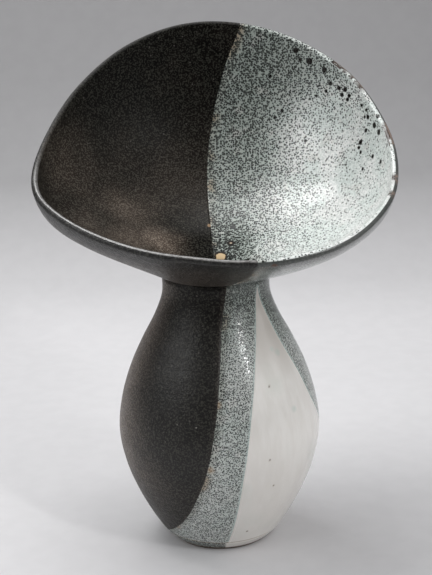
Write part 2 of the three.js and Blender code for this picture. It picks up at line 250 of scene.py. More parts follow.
# Turned foot: a slab of buff stoneware left on the base of the pot and trimmed with a
# loop tool, which leaves fine rings underneath. Its edge is bevelled and its flank flares.
foot_height = 9
foot_radius = 38
foot_top_radius = 45.2
foot_bevel = 1.4
clay_depth = 0.6
ring_pitch = 2.4
bare_colour = (0.4, 0.3, 0.21)
clay_brown, clay_buff = (0.33, 0.24, 0.165), (0.42, 0.325, 0.23)
clay_sand = (0.5, 0.41, 0.31)
grog_brown = (0.13, 0.085, 0.06)


def new_group(name, inputs, outputs):
    """An empty group and its inputs, which are numbers. So are its outputs, apart from Colour."""
    group = bpy.data.node_groups.new(name, "ShaderNodeTree")
    for socket_name in inputs:
        group.interface.new_socket(socket_name, in_out="INPUT", socket_type="NodeSocketFloat")
    for socket_name in outputs:
        kind = "NodeSocketColor" if socket_name == "Colour" else "NodeSocketFloat"
        group.interface.new_socket(socket_name, in_out="OUTPUT", socket_type=kind)
    return group, add_node(group, "NodeGroupInput").outputs


def clay_colours():
    """Group: buff clay with sandy grog, and how it stands off the surface."""
    group, _ = new_group("stoneware_clay", [], ["Colour", "Relief"])
    where = object_place(group)
    cloud = noise(group, where, 45, 3)
    sand = noise(group, where, 1500, 2, 0.7)
    grog = add_node(group, "ShaderNodeTexVoronoi", Vector=where, Scale=620.0).outputs["Distance"]
    buff = blend_colours(group, ramp(group, cloud, 0.35, 0.65), clay_brown, clay_buff)
    sandy = blend_colours(group, ramp(group, sand, 0.45, 0.75), buff, clay_sand)
    colour = blend_colours(group, ramp(group, grog, 0.1, 0.24, 1, 0), sandy, grog_brown)
    add_node(group, "NodeGroupOutput", Colour=colour, Relief=sand)
    return group


stoneware = clay_colours()


def use_group(tree, group, **inputs):
    """Places a shared group in a material, with its own values."""
    return add_node(tree, "ShaderNodeGroup", {"node_tree": group}, **inputs).outputs


def bumped(tree, height, distance, strength):
    """A normal that follows a height in the range 0 to 1."""
    bump = add_node(tree, "ShaderNodeBump", Height=height, Distance=distance, Strength=strength)
    return bump.outputs["Normal"]


def trimmed_clay():
    """Bare clay with the trimming tool's rings, which follow the distance from the axis."""
    material, tree, shader = new_material("trimmed_clay", bare_colour)
    clay = use_group(tree, stoneware)
    where = object_place(tree)
    across, along, up = (axis_of(tree, where, axis) for axis in "XYZ")
    wander = times(tree, noise(tree, where, 30), 0.0012)
    flat = add_node(tree, "ShaderNodeCombineXYZ", X=across, Y=along).outputs[0]
    span = add_node(tree, "ShaderNodeVectorMath", {"operation": "LENGTH"}, Vector=flat).outputs["Value"]
    reach = plus(tree, span, wander)
    rings = arithmetic(tree, "SINE", times(tree, reach, math.tau / (ring_pitch * MM)))

    # Painted shade: darker between the rings, and all of it darker close to the ground as a painted
    # contact shadow
    shaded_valley = ramp(tree, up, 0.0005, 0.004, 0.3, 0.82)
    lit_ridge = ramp(tree, up, 0.0005, 0.004, 0.4, 1.08)
    colour = blend_colours(tree, 1.0, clay["Colour"], ramp(tree, rings, -1, 1, shaded_valley, lit_ridge), "MULTIPLY")
    relief = plus(tree, times(tree, rings, 0.4), clay["Relief"])
    feed(tree, shader, Base_Color=colour, Roughness=0.86, Normal=bumped(tree, relief, 0.00035, 0.7))
    return material


def fired(name, bm, material, node, corner=35):
    """Makes a piece from its bmesh in a CAD node's place, with sharp edges past the corner angle."""
    for face in bm.faces:
        face.smooth = True
    for edge in bm.edges:
        edge.smooth = not edge.is_boundary and edge.calc_face_angle(0) < math.radians(corner)
    mesh = bpy.data.meshes.new(name)
    bm.to_mesh(mesh)
    bm.free()
    mesh.materials.append(material)
    piece = bpy.data.objects.new(name, mesh)
    bpy.context.collection.objects.link(piece)
    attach(piece, "root")
    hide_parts(node)
    return piece


def thrown(outline, steps=192):
    """A bmesh spun about the axis from an outline of radius and height, open or closed on itself."""
    bm = bmesh.new()
    corners = [bm.verts.new((radius * MM, 0, height * MM)) for radius, height in outline]
    edges = [bm.edges.new(pair) for pair in zip(corners, corners[1:])]
    if outline[0][0] > 0:
        edges.append(bm.edges.new((corners[-1], corners[0])))
    about_z = {"cent": (0, 0, 0), "axis": (0, 0, 1), "angle": math.tau}
    bmesh.ops.spin(bm, geom=corners + edges, steps=steps, use_merge=True, **about_z)
    bmesh.ops.remove_doubles(bm, verts=bm.verts, dist=1e-6)
    bmesh.ops.recalc_face_normals(bm, faces=bm.faces)
    return bm


def foot_face(height, depth):
    """A point of the foot's flank, set in by a depth square to it."""
    run, rise = foot_top_radius - foot_radius, foot_height - foot_bevel
    slope = math.atan2(run, rise)
    share = (height - foot_bevel) / rise
    return foot_radius + share * run - math.cos(slope) * depth, height + math.sin(slope) * depth


flat_rings = [(radius, 0) for radius in (0, 8, 16, 24, 31, 35)]
bevel = [
    (foot_radius - clay_depth - foot_bevel * (1 - math.sin(angle)), foot_bevel * (1 - math.cos(angle)))
    for angle in np.linspace(0, math.pi / 2, 7)
]
foot_flank = [foot_face(height, clay_depth) for height in (2.2, 5, 8)]
foot_outline = flat_rings + bevel + foot_flank + [(foot_top_radius - 1, foot_height), (0, foot_height)]
fired("trimmed_foot", thrown(foot_outline), trimmed_clay(), "turned_foot")


# Glaze round the foot: the body's white and speckled glazes run down over the groove onto
# the foot's flank, and are wiped off short of the ground so that the pot can't stick.
bare_foot_height = 1.8
coat_thickness = 0.5
white_front_azimuth, white_side_azimuth = -87, 50
thin_glaze = (0.2, 0.13, 0.085)

# Pale glaze with dark specks: the distance between specks, their least radius as a share of
# it, the colours of its ground, and how it turns beside the white and the dark glaze
body_speckle_pitch = 1.0
least_speck = 0.42
speckle_colour = (0.55, 0.6, 0.57)
chalky_ground, minty_ground = (0.88, 0.885, 0.865), (0.77, 0.82, 0.79)
dull_ground, pink_ground = (0.34, 0.375, 0.34), (0.72, 0.66, 0.63)
halo_green = (0.3, 0.36, 0.335)
teal_by_white, ochre_by_dark = (0.5, 0.62, 0.59), (0.34, 0.23, 0.13)
speck_black, speck_grey = (0.0045, 0.005, 0.0045), (0.022, 0.026, 0.022)

# White glaze: its runs, its green clouds, and its painted shade near the foot and under the mouth
run_shade, run_white = (0.83, 0.8, 0.755), (0.89, 0.865, 0.825)
cloud_green = (0.72, 0.75, 0.69)
low_shade_white, mouth_shade_white = (0.75, 0.715, 0.67), (0.57, 0.53, 0.485)


def ragged(tree, where, scale, detail, reach):
    """The place shifted by noise as far as a reach, which makes round outlines uneven."""
    drift = add_node(tree, "ShaderNodeTexNoise", Vector=where, Scale=scale, Detail=detail)
    shift = add_node(tree, "ShaderNodeVectorMath", {"operation": "MULTIPLY_ADD"})
    for socket, value in zip(shift.inputs, (drift.outputs["Color"], (reach, reach, reach), where)):
        set_socket(tree, socket, value)
    return shift.outputs[0]


def speckled_glaze():
    """Group: pale glaze, through which dark specks have broken, more of them where Cover is high.

    Pitch is how far apart the specks stand, and Cover is their radius as a share of it. Below
    the least radius, some of them are left out instead. Blur is 1 where they have run and look
    smoky. Dark edge and White edge are 1 where the glaze meets the dark and the white one.
    """
    numbers = ["Pitch", "Cover", "Blur", "Dark edge", "White edge"]
    group, given = new_group("speckled_glaze", numbers, ["Colour", "Roughness", "Relief"])
    where = object_place(group)

    # Specks of uneven size and outline
    often = arithmetic(group, "DIVIDE", 1.0, given["Pitch"])
    uneven = ragged(group, where, 1300.0, 1.0, 0.0009)
    speck = add_node(group, "ShaderNodeTexVoronoi", Vector=uneven, Scale=often, Randomness=0.8)
    distance = speck.outputs["Distance"]
    chances = add_node(group, "ShaderNodeSeparateColor", Color=speck.outputs["Color"]).outputs
    least = arithmetic(group, "MAXIMUM", given["Cover"], least_speck)
    size = ramp(group, chances["Red"], 0, 1, 0.8, 1.15, smooth=False)
    radius = times(group, least, size)
    inner = arithmetic(group, "SUBTRACT", radius, ramp(group, given["Blur"], 0, 1, 0.14, 0.5))
    outer = plus(group, radius, ramp(group, given["Blur"], 0, 1, 0.1, 0.45))
    specks = ramp(group, distance, inner, outer, 1.0, 0.0)
    halo = ramp(group, distance, radius, plus(group, radius, 0.3), 1.0, 0.0)
    kept = arithmetic(group, "SUBTRACT", 1.0, times(group, given["White edge"], 0.7))
    sparse = arithmetic(group, "POWER", arithmetic(group, "DIVIDE", given["Cover"], least_speck), 2)
    there = arithmetic(group, "LESS_THAN", chances["Green"], sparse)
    dots = times(group, times(group, specks, kept), there)

    # Ground that drifts between chalk white, mint and a faint pink, greener round each speck
    cloud = ramp(group, noise(group, where, 38, 3, 0.6), 0.38, 0.62)
    pale = blend_colours(group, cloud, chalky_ground, minty_ground)
    dull = blend_colours(group, ramp(group, given["Cover"], 0.38, 0.57, 0, 0.95), pale, dull_ground)
    blush = ramp(group, noise(group, where, 75, 2), 0.58, 0.75, 0, 0.4)
    warm = blend_colours(group, blush, dull, pink_ground)
    green = blend_colours(group, times(group, halo, 0.35), warm, halo_green)
    teal_share = times(group, given["White edge"], 0.6)
    teal = blend_colours(group, teal_share, green, teal_by_white)
    patch = ramp(group, noise(group, where, 55, 2), 0.52, 0.68)
    ochre_share = times(group, given["Dark edge"], ramp(group, patch, 0, 1, 0.12, 0.65))
    ground = blend_colours(group, ochre_share, teal, ochre_by_dark)
    ink = blend_colours(group, ramp(group, chances["Red"], 0.2, 0.9), speck_black, speck_grey)

    # Specks are slightly sunk, and the glaze has the soft dimples of orange peel
    sunk = times(group, dots, 0.35)
    add_node(
        group,
        "NodeGroupOutput",
        Colour=blend_colours(group, dots, ground, ink),
        Roughness=ramp(group, dots, 0, 1, 0.13, 0.3),
        Relief=arithmetic(group, "SUBTRACT", noise(group, where, 420, 2), sunk),
    )
    return group


def white_glaze():
    """Group: off-white glaze with faint runs of pink and green, and painted shade near the foot and under
    the mouth.
    """
    group, _ = new_group("white_glaze", [], ["Colour", "Roughness", "Relief"])
    where = object_place(group)
    up = axis_of(group, where, "Z")
    drawn = add_node(group, "ShaderNodeMapping", Vector=where, Scale=(1, 1, 0.22)).outputs[0]
    run = noise(group, drawn, 95, 3, 0.6)
    chalk = blend_colours(group, ramp(group, run, 0.35, 0.65), run_shade, run_white)
    cloud = ramp(group, noise(group, where, 26, 2), 0.52, 0.72, 0, 0.55)
    tinted = blend_colours(group, cloud, chalk, cloud_green)
    # Painted shade: darker and warmer near the foot, and darker towards the neck under the mouth
    foot_shaded = blend_colours(group, ramp(group, up, 0.03, 0.1, 0.55, 0), tinted, low_shade_white)
    add_node(
        group,
        "NodeGroupOutput",
        Colour=blend_colours(group, ramp(group, up, 0.125, 0.17, 0, 0.9), foot_shaded, mouth_shade_white),
        Roughness=ramp(group, run, 0.3, 0.7, 0.14, 0.24),
        Relief=noise(group, where, 170, 2),
    )
    return group


speckled = speckled_glaze()
white = white_glaze()


def attribute(tree, name):
    """A number that the piece's mesh holds at each of its points."""
    return add_node(tree, "ShaderNodeAttribute", {"attribute_name": name}).outputs["Fac"]


def foot_glaze():
    """Both glazes on one band: white in front at the right, speckled over the rest."""
    material, tree, shader = new_material("foot_glaze", (0.55, 0.57, 0.55))
    flecks = use_group(tree, speckled, Pitch=body_speckle_pitch * MM, Cover=0.56)
    white_share = attribute(tree, "white_share")
    colour = blend_colours(tree, white_share, flecks["Colour"], use_group(tree, white)["Colour"])
    thin = times(tree, attribute(tree, "thinness"), 0.75)
    colour = blend_colours(tree, thin, colour, thin_glaze)
    normal = bumped(tree, flecks["Relief"], 0.00025, 0.4)
    feed(tree, shader, Base_Color=colour, Roughness=0.24, Normal=normal)
    return material


def set_numbers(bm, **numbers):
    """Keeps numbers, one to each point, on a bmesh for its piece's material."""
    for name, values in numbers.items():
        layer = bm.verts.layers.float.new(name)
        for vert, value in zip(bm.verts, values.tolist()):
            vert[layer] = value


def smooth_step(value, low, high):
    """Rises smoothly from 0 at low to 1 at high."""
    share = np.clip((value - low) / (high - low), 0, 1)
    return share * share * (3 - 2 * share)


band_heights = [2.0, 2.6, 3.6, 5, 6.4, 7.4]
band_outside = [foot_face(bare_foot_height, 0.35), *[foot_face(height, 0) for height in band_heights]]
band_top = [foot_face(8.2, 0.06), foot_face(8.7, 0.28), foot_face(foot_height, 0.5)]
band_depth = coat_thickness + 0.05
band_inside = [foot_face(height, band_depth) for height in (foot_height, 5.4, bare_foot_height)]
foot_band = thrown(band_outside + band_top + band_inside[1:], 360)
band_points = np.array([vert.co[:] for vert in foot_band.verts]) / MM
band_azimuth = np.degrees(np.arctan2(band_points[:, 1], band_points[:, 0]))
inside_white = np.minimum(band_azimuth - white_front_azimuth, white_side_azimuth - band_azimuth)
white_share = smooth_step(inside_white, -1.2, 1.2)
thinness = 1 - smooth_step(band_points[:, 2], 1.8, 3.4)
set_numbers(foot_band, white_share=white_share, thinness=thinness)
fired("foot_glaze", foot_band, foot_glaze(), "foot_glaze_band", corner=60)


# Body wall: the thrown wall of the ovoid, with its closed floor and its straight neck.
# Under the glaze it is bare buff stoneware, so it is hardly seen.
joint_height = 200
body_radius = 73.7
neck_radius = 38.5
neck_straight = 14
neck_spread = 0.5
body_bottom_radius = foot_top_radius + 0.4
body_stations = [
    (0.12, 0.737),
    (0.2, 0.844),
    (0.3, 0.944),
    (0.42, 1),
    (0.54, 0.963),
    (0.66, 0.863),
    (0.76, 0.738),
    (0.85, 0.609),
]
body_wall = 6.8
floor_thickness = 6
floor_corner = 6
slip_thickness = 1.6
coat_gap = 0.35


def smooth_line(stations):
    """A smooth line through stations (position, value, ...), which answers many positions at once."""
    table = np.array(stations, dtype=float)
    places, values = table[:, 0], table[:, 1:]

    def answer(position):
        t = np.clip(np.asarray(position, dtype=float), places[0], places[-1])
        after = np.clip(np.searchsorted(places, t, side="right"), 1, len(places) - 1)
        before = after - 1
        start, end = places[before], places[after]
        half = (end - start) / 2
        first, last = before == 0, after == len(places) - 1
        previous = np.where(first, after, before - 1)
        following = np.where(last, before, np.minimum(after + 1, len(places) - 1))
        lean_in = half / (start - np.where(first, end, places[previous]))
        lean_out = half / (np.where(last, start, places[following]) - end)
        p = (t - start) / (end - start)
        square, cube = p * p, p * p * p
        weights = (
            -lean_in * cube + 2 * lean_in * square - lean_in * p,
            (1 + lean_in) * cube + (-1.5 - 2 * lean_in) * square + (-0.5 + lean_in) * p + 1,
            (-1 - lean_out) * cube + (1.5 + lean_out) * square + 0.5 * p,
            lean_out * cube - lean_out * square,
        )
        rows = (previous, before, after, following)
        return sum(weight[:, None] * values[row] for weight, row in zip(weights, rows))

    return answer


body_line = smooth_line(
    [
        (foot_height, body_bottom_radius),
        *[(height * joint_height, radius * body_radius) for height, radius in body_stations],
        (joint_height - neck_straight, neck_radius + neck_spread),
        (joint_height, neck_radius),
        (joint_height + neck_straight, neck_radius),
    ]
)


def body_face(height, depth):
    """Radius and height of the body's surface, set in by a depth square to it."""
    height = np.asarray(height, dtype=float)
    swell = body_line(height + 0.5)[:, 0] - body_line(height - 0.5)[:, 0]
    length = np.hypot(swell, 1)
    return body_line(height)[:, 0] - depth / length, height + depth * swell / length


def plain_clay():
    """Bare stoneware without tool marks."""
    material, tree, shader = new_material("plain_clay", bare_colour)
    clay = use_group(tree, stoneware)
    normal = bumped(tree, clay["Relief"], 0.0003, 0.6)
    feed(tree, shader, Base_Color=clay["Colour"], Roughness=0.88, Normal=normal)
    return material


bare_clay = plain_clay()
wall_clay_depth = coat_thickness + coat_gap / 2
throat_radius = neck_radius - body_wall
floor_top = foot_height + floor_thickness
body_top = joint_height - slip_thickness / 2


def cavity_line(top, depth):
    """Outline down the cavity, lined with a depth of glaze, from the throat to the floor's middle."""
    rows = np.linspace(joint_height - neck_straight - 4, floor_top + floor_corner + 4, 44)
    radii, heights = body_face(rows, body_wall + depth)
    radii = np.maximum(radii, throat_radius - depth)
    turn_in = np.linspace(0, math.pi / 2, 9)[1:]
    bottom = floor_top + depth
    corner = heights[-1] - bottom
    bend = [
        (radii[-1] - corner * (1 - math.cos(angle)), heights[-1] - corner * math.sin(angle))
        for angle in turn_in
    ]
    flat = [(share * bend[-1][0], bottom) for share in (0.66, 0.33, 0)]
    neck_heights = (top, top - 4, joint_height - neck_straight + 2)
    neck = [(throat_radius - depth, height) for height in neck_heights]
    return neck + list(zip(radii, heights)) + bend + flat


wall_rows = np.linspace(foot_height + 0.6, body_top - 1, 60)
wall_bottom = [(radius, foot_height) for radius in (0, 22, body_bottom_radius - wall_clay_depth)]
wall_outside = [*zip(*body_face(wall_rows, wall_clay_depth)), (neck_radius - wall_clay_depth, body_top)]
wall_outline = wall_bottom + wall_outside + cavity_line(body_top, 0)
fired("thrown_wall", thrown(wall_outline), bare_clay, "body_wall")


# Lining: a dark liner glaze poured in, swilled round and poured out, so that the inside
# holds water. It shows at the bottom of the throat.
liner_black, liner_brown = (0.018, 0.013, 0.01), (0.06, 0.036, 0.022)


def liner_glaze():
    """Glossy brown-black glaze, thinner and browner in patches."""
    material, tree, shader = new_material("liner_glaze", (0.05, 0.035, 0.025))
    where = object_place(tree)
    cloud = noise(tree, where, 60, 4, 0.6)
    feed(
        tree,
        shader,
        Base_Color=blend_colours(tree, ramp(tree, cloud, 0.35, 0.7), liner_black, liner_brown),
        Roughness=ramp(tree, cloud, 0.3, 0.7, 0.2, 0.34),
        Normal=bumped(tree, noise(tree, where, 260, 2), 0.0003, 0.5),
    )
    return material


lining_rim = body_top + slip_thickness / 2
lining_inside = cavity_line(lining_rim, coat_thickness + coat_gap)
lining_outside = cavity_line(lining_rim, coat_gap / 2)
lining = thrown(lining_outside[::-1] + lining_inside)
fired("liner_coat", lining, liner_glaze(), "body_lining")


# Slip joint: thick slip brushed on the scored neck, which lutes the mouth to it and fires
# to a dark brown ring at the bottom of the crease.
slip_setback = 1.2
slip_bulge = 0.4
slip_black, slip_brown = (0.05, 0.035, 0.026), (0.12, 0.088, 0.066)


def fired_slip():
    """Rough dark slip."""
    material, tree, shader = new_material("fired_slip", (0.09, 0.065, 0.05))
    grain = noise(tree, object_place(tree), 900, 3, 0.65)
    colour = blend_colours(tree, ramp(tree, grain, 0.35, 0.65), slip_black, slip_brown)
    feed(tree, shader, Base_Color=colour, Roughness=0.9, Normal=bumped(tree, grain, 0.0004, 0.8))
    return material


slip_outside = neck_radius - coat_thickness - slip_setback - slip_bulge
slip_edge = [
    (slip_outside + slip_bulge * math.sin(angle), joint_height - slip_thickness / 2 * math.cos(angle))
    for angle in np.linspace(0, math.pi, 9)
]
slip_sides = (joint_height + slip_thickness / 2, joint_height - slip_thickness / 2)
slip_inside = [(throat_radius - coat_gap / 2, height) for height in slip_sides]
fired("slip_ring", thrown(slip_edge + slip_inside), fired_slip(), "slip_joint")


# Mouth: a wide bowl thrown on its own, pulled up behind into a hood while soft, with a
# thick round rim, then luted on the neck. The clay is the same buff stoneware.
mouth_reach = 137.9
mouth_rise = 166

# Azimuth, and the rim's shares of the reach and of the rise there
rim_stations = [
    (0, 0.945, 0.409),
    (20, 0.996, 0.573),
    (40, 1, 0.782),
    (60, 0.956, 0.928),
    (80, 0.928, 1),
    (100, 0.928, 1),
    (120, 0.941, 0.917),
    (140, 0.951, 0.759),
    (160, 0.951, 0.563),
    (175, 0.941, 0.437),
    (185, 0.911, 0.379),
    (200, 0.835, 0.319),
    (220, 0.735, 0.252),
    (240, 0.664, 0.205),
    (260, 0.634, 0.182),
    (280, 0.662, 0.168),
    (300, 0.735, 0.177),
    (320, 0.827, 0.225),
    (340, 0.893, 0.312),
]
rim_thickness = 5
rim_radius = rim_thickness / 2
mouth_wall_at_neck = 7
shoulder_run = 14
leave_angle_left = 31
leave_angle_right = 15.8

# Share of the rise, the angle at which the section arrives there, and its two handles
section_stations = [
    (0.169, 32, 0.33, 0.27),
    (0.301, 66, 0.46, 0.32),
    (0.422, 80.5, 0.65, 0.44),
    (0.602, 86, 0.75, 0.55),
    (1, 92, 0.95, 0.9),
]
mouth_bottom = joint_height + slip_thickness / 2
finished_throat = throat_radius - coat_thickness - coat_gap
crease_depth = 0.9
crease_reach = 3.2
section_steps = 64

before_first = [(azimuth - 360, *shares) for azimuth, *shares in rim_stations[-2:]]
past_last = [(azimuth + 360, *shares) for azimuth, *shares in rim_stations[:2]]
rim_line = smooth_line(before_first + rim_stations + past_last)
section_line = smooth_line(section_stations)


def mouth_section(azimuth, share):
    """Point, outward direction and length of the mouth's section at a share of its length."""
    reach_share, rise_share = rim_line(azimuth % 360).T
    arrive_angle, first_handle, last_handle = section_line(rise_share).T
    leftness = (1 - np.cos(np.radians(azimuth))) / 2
    leave = np.radians(leave_angle_right + (leave_angle_left - leave_angle_right) * leftness)
    arrive = np.radians(arrive_angle)
    leaving = np.stack([np.cos(leave), np.sin(leave)], axis=1)
    arriving = np.stack([np.cos(arrive), np.sin(arrive)], axis=1)
    reach = reach_share * mouth_reach
    start = np.array([neck_radius, joint_height], dtype=float) + 0 * leaving
    end = np.stack([reach, joint_height + rise_share * mouth_rise], axis=1) - rim_radius * arriving
    span = (reach - neck_radius)[:, None]
    after_start = start + leaving * first_handle[:, None] * span
    before_end = end - arriving * last_handle[:, None] * span
    ends = (start, after_start, before_end, end)

    steps = np.linspace(0, 1, section_steps + 1)
    powers = ((1 - steps) ** 3, 3 * (1 - steps) ** 2 * steps, 3 * (1 - steps) * steps**2, steps**3)
    line = sum(corner[:, None, :] * power[None, :, None] for corner, power in zip(ends, powers))
    travelled = np.cumsum(np.linalg.norm(np.diff(line, axis=1), axis=2), axis=1)
    travelled = np.concatenate([np.zeros((len(reach), 1)), travelled], axis=1)
    target = np.clip(share, 0, 1) * travelled[:, -1]
    index = np.clip((travelled < target[:, None]).sum(axis=1) - 1, 0, section_steps - 1)
    each = np.arange(len(reach))
    low, high = travelled[each, index], travelled[each, index + 1]
    t = ((index + (target - low) / (high - low)) / section_steps)[:, None]
    left = 1 - t
    point = ends[0] * left**3 + 3 * ends[1] * left**2 * t + 3 * ends[2] * left * t**2 + ends[3] * t**3
    legs = [after - before for before, after in zip(ends, ends[1:])]
    along = legs[0] * left**2 + 2 * legs[1] * left * t + legs[2] * t**2
    along /= np.linalg.norm(along, axis=1)[:, None]
    return point, np.stack([along[:, 1], -along[:, 0]], axis=1), travelled[:, -1]


def over_rim(azimuth, turn, depth):
    """Round edge of the rim, from the outer side at turn 0 to the inner side at turn 1."""
    end, outward, _ = mouth_section(azimuth, np.ones_like(azimuth))
    along = np.stack([-outward[:, 1], outward[:, 0]], axis=1)
    angle = math.pi * turn
    radius = rim_radius - depth
    right_painted_light = (np.cos(angle) * radius - rim_radius)[:, None]
    return end + outward * right_painted_light + along * (np.sin(angle) * radius)[:, None]


def mouth_outside(azimuth, row, depth):
    """Outer face of the mouth: rows 0 to 1 run from the crease to the rim, and 1 to 2 over the rim."""
    point, outward, length = mouth_section(azimuth, row)
    face = point - outward * depth[:, None]
    crease = np.stack([neck_radius - crease_depth - depth, joint_height + 0 * depth], axis=1)
    rounding = np.clip(1 - row * length / crease_reach, 0, 1)[:, None] ** 2
    face = face * (1 - rounding) + crease * rounding
    return np.where(row[:, None] > 1, over_rim(azimuth, np.maximum(row - 1, 0), depth), face)


def mouth_inside(azimuth, row, depth):
    """Inner face: rows -1 to 0 run up the throat's shoulder, 0 to 1 to the rim, and 1 to 2 over it."""
    length = mouth_section(azimuth, np.ones_like(azimuth))[2]
    shoulder = shoulder_run / length
    share = shoulder + (1 - shoulder) * np.clip(row, 0, 1)
    point, outward, _ = mouth_section(azimuth, share)
    wall = mouth_wall_at_neck + (rim_thickness - mouth_wall_at_neck) * share
    face = point - outward * (wall - depth)[:, None]
    along = np.stack([-outward[:, 1], outward[:, 0]], axis=1)
    radius = finished_throat + depth
    bend = face[:, 1] - (face[:, 0] - radius) * along[:, 1] / along[:, 0]
    foot = np.stack([radius, mouth_bottom + 0 * radius], axis=1)
    knee = np.stack([radius, bend], axis=1)
    t = np.clip(row + 1, 0, 1)[:, None]
    throat = foot * (1 - t) ** 2 + 2 * knee * (1 - t) * t + face * t**2
    inner = np.where(row[:, None] < 0, throat, face)
    return np.where(row[:, None] > 1, over_rim(azimuth, 2 - np.maximum(row, 1), depth), inner)


def turned(azimuth, face):
    """Brings points of radius and height round to their azimuths."""
    angle = np.radians(azimuth)
    return np.stack([face[:, 0] * np.cos(angle), face[:, 0] * np.sin(angle), face[:, 1]], axis=1)


def sheet_grid(columns, rows):
    """A grid of faces, and the share from 0 to 1 across and up it of each of its points."""
    bm = bmesh.new()
    bmesh.ops.create_grid(bm, x_segments=columns, y_segments=rows, size=1)
    shares = (np.array([vert.co[:2] for vert in bm.verts]) + 1) / 2
    return bm, shares[:, 0], shares[:, 1]


def move_points(bm, places):
    """Puts the bmesh's points at places in millimetres."""
    for vert, place in zip(bm.verts, (places * MM).tolist()):
        vert.co = place


# Shares of the clay's rows that lie outside and below the throat, and the row at the rim's crest
outer_rows, throat_rows = 0.45, 0.08
crest = 1.5
clay_columns, clay_rows = 240, 120
mouth_bm, around, up_share = sheet_grid(clay_columns, clay_rows)
clay_azimuth = around * 360
clay_skin = np.full_like(around, coat_thickness + coat_gap / 2)
outer_side = np.clip(up_share / outer_rows, 0, 1) * crest
inner_side = crest - np.clip((up_share - outer_rows) / (1 - outer_rows - throat_rows), 0, 1) * (crest + 1)
clay_outside = mouth_outside(clay_azimuth, outer_side, clay_skin)
clay_inside = mouth_inside(clay_azimuth, inner_side, clay_skin)
clay_face = np.where((up_share <= outer_rows)[:, None], clay_outside, clay_inside)
seat = np.clip((up_share - (1 - throat_rows)) / throat_rows, 0, 1)[:, None]
seat_end = np.array([neck_radius - crease_depth - coat_thickness - coat_gap / 2, mouth_bottom])
clay_face = clay_face * (1 - seat) + seat_end * seat
clay_face[:, 1] = np.maximum(clay_face[:, 1], mouth_bottom)
move_points(mouth_bm, turned(clay_azimuth, clay_face))
bmesh.ops.remove_doubles(mouth_bm, verts=mouth_bm.verts, dist=1e-5)
bmesh.ops.recalc_face_normals(mouth_bm, faces=mouth_bm.faces)
fired("mouth_clay", mouth_bm, bare_clay, "mouth_bowl")


# Dark glaze on the body: a pointed field brushed round the left side. It is a satin
# iron glaze, nearly black, with a fine grain and browner where it is thin, and a painted sheen turns it
# tan where it turns away.
field_columns, field_rows = 140, 110
seam_width = 1.3
seam_drop = 0.22
groove_depth = 0.7
groove_reach = 1.6
finger_rings_per_metre = 380
dark_colour = (0.06, 0.052, 0.046)
iron_black, iron_brown = (0.0016, 0.0013, 0.001), (0.005, 0.004, 0.0032)
thin_tan = (0.092, 0.07, 0.056)
grain_on_black, grain_on_tan = (0.031, 0.0305, 0.025), (0.24, 0.198, 0.16)
fleck_grey = (0.12, 0.11, 0.1)
# Grey of the painted highlight along the rim's edge
rim_highlight_grey = (0.2, 0.195, 0.19)
pale_specks = [(place, 0.5, 0.3, (0.45, 0.43, 0.4), 0.5) for place in ((-29, -64, 110), (-16, -69, 109))]

# Share of the joint's height, and the border's azimuth there
dark_tip = (0.055, -147)
dark_right_stations = [
    dark_tip,
    (0.08, -136),
    (0.13, -122),
    (0.2, -111),
    (0.275, -104),
    (0.37, -98),
    (0.55, -92.3),
    (0.765, -88),
    (0.855, -86),
    (0.93, -82.3),
    (1, -78.6),
]
dark_left_stations = [
    dark_tip,
    (0.1, -166),
    (0.2, -184),
    (0.35, -200),
    (0.55, -215),
    (0.75, -228),
    (1, -240),
]


def dark_glaze():
    """Group: near-black satin glaze, grained all over.

    Thin is 1 where it breaks to tan: where it is thin, and where callers paint a sheen with it. Highlight
    is
    1 where a painted highlight greys the rim's edge, which shines.
    """
    group, given = new_group("dark_glaze", ["Thin", "Rim"], ["Colour", "Roughness", "Relief"])
    where = object_place(group)
    cloud = noise(group, where, 26, 4, 0.6)
    mottle = noise(group, where, 160, 4, 0.65)
    grain = noise(group, where, 820, 2, 0.55)
    fleck = add_node(group, "ShaderNodeTexVoronoi", Vector=where, Scale=300.0).outputs
    chance = add_node(group, "ShaderNodeSeparateColor", Color=fleck["Color"]).outputs["Blue"]
    spot = ramp(group, fleck["Distance"], 0.1, 0.25, 1, 0)
    rare = times(group, spot, ramp(group, chance, 0.86, 0.94, 0, 0.7))

    # Black with a warm cast, tan where Thin is high, from thin glaze and from painted sheen, and paler
    # grains over both
    clouded = times(group, given["Thin"], ramp(group, cloud, 0.32, 0.68, 0.55, 1.15))
    thin = arithmetic(group, "MAXIMUM", clouded, ramp(group, cloud, 0.5, 0.75, 0, 0.05))
    black = blend_colours(group, ramp(group, mottle, 0.35, 0.7), iron_black, iron_brown)
    brown = blend_colours(group, thin, black, thin_tan)
    pale = blend_colours(group, thin, grain_on_black, grain_on_tan)
    grained = blend_colours(group, ramp(group, grain, 0.48, 0.6), brown, pale)
    flecked = blend_colours(group, rare, grained, fleck_grey)
    # Painted highlight: a streaky grey on the rim's edge where Highlight is high
    streak = ramp(group, noise(group, where, 240, 3), 0.3, 0.6, 0.4, 1)
    rim_highlight = times(group, given["Rim"], streak)
    satin = ramp(group, mottle, 0.3, 0.7, 0.36, 0.48)
    rough = times(group, grain, 0.6)
    add_node(
        group,
        "NodeGroupOutput",
        Colour=blend_colours(group, rim_highlight, flecked, rim_highlight_grey),
        Roughness=ramp(group, given["Rim"], 0, 1, satin, 0.2),
        Relief=plus(group, noise(group, where, 480, 2), rough),
    )
    return group


dark = dark_glaze()


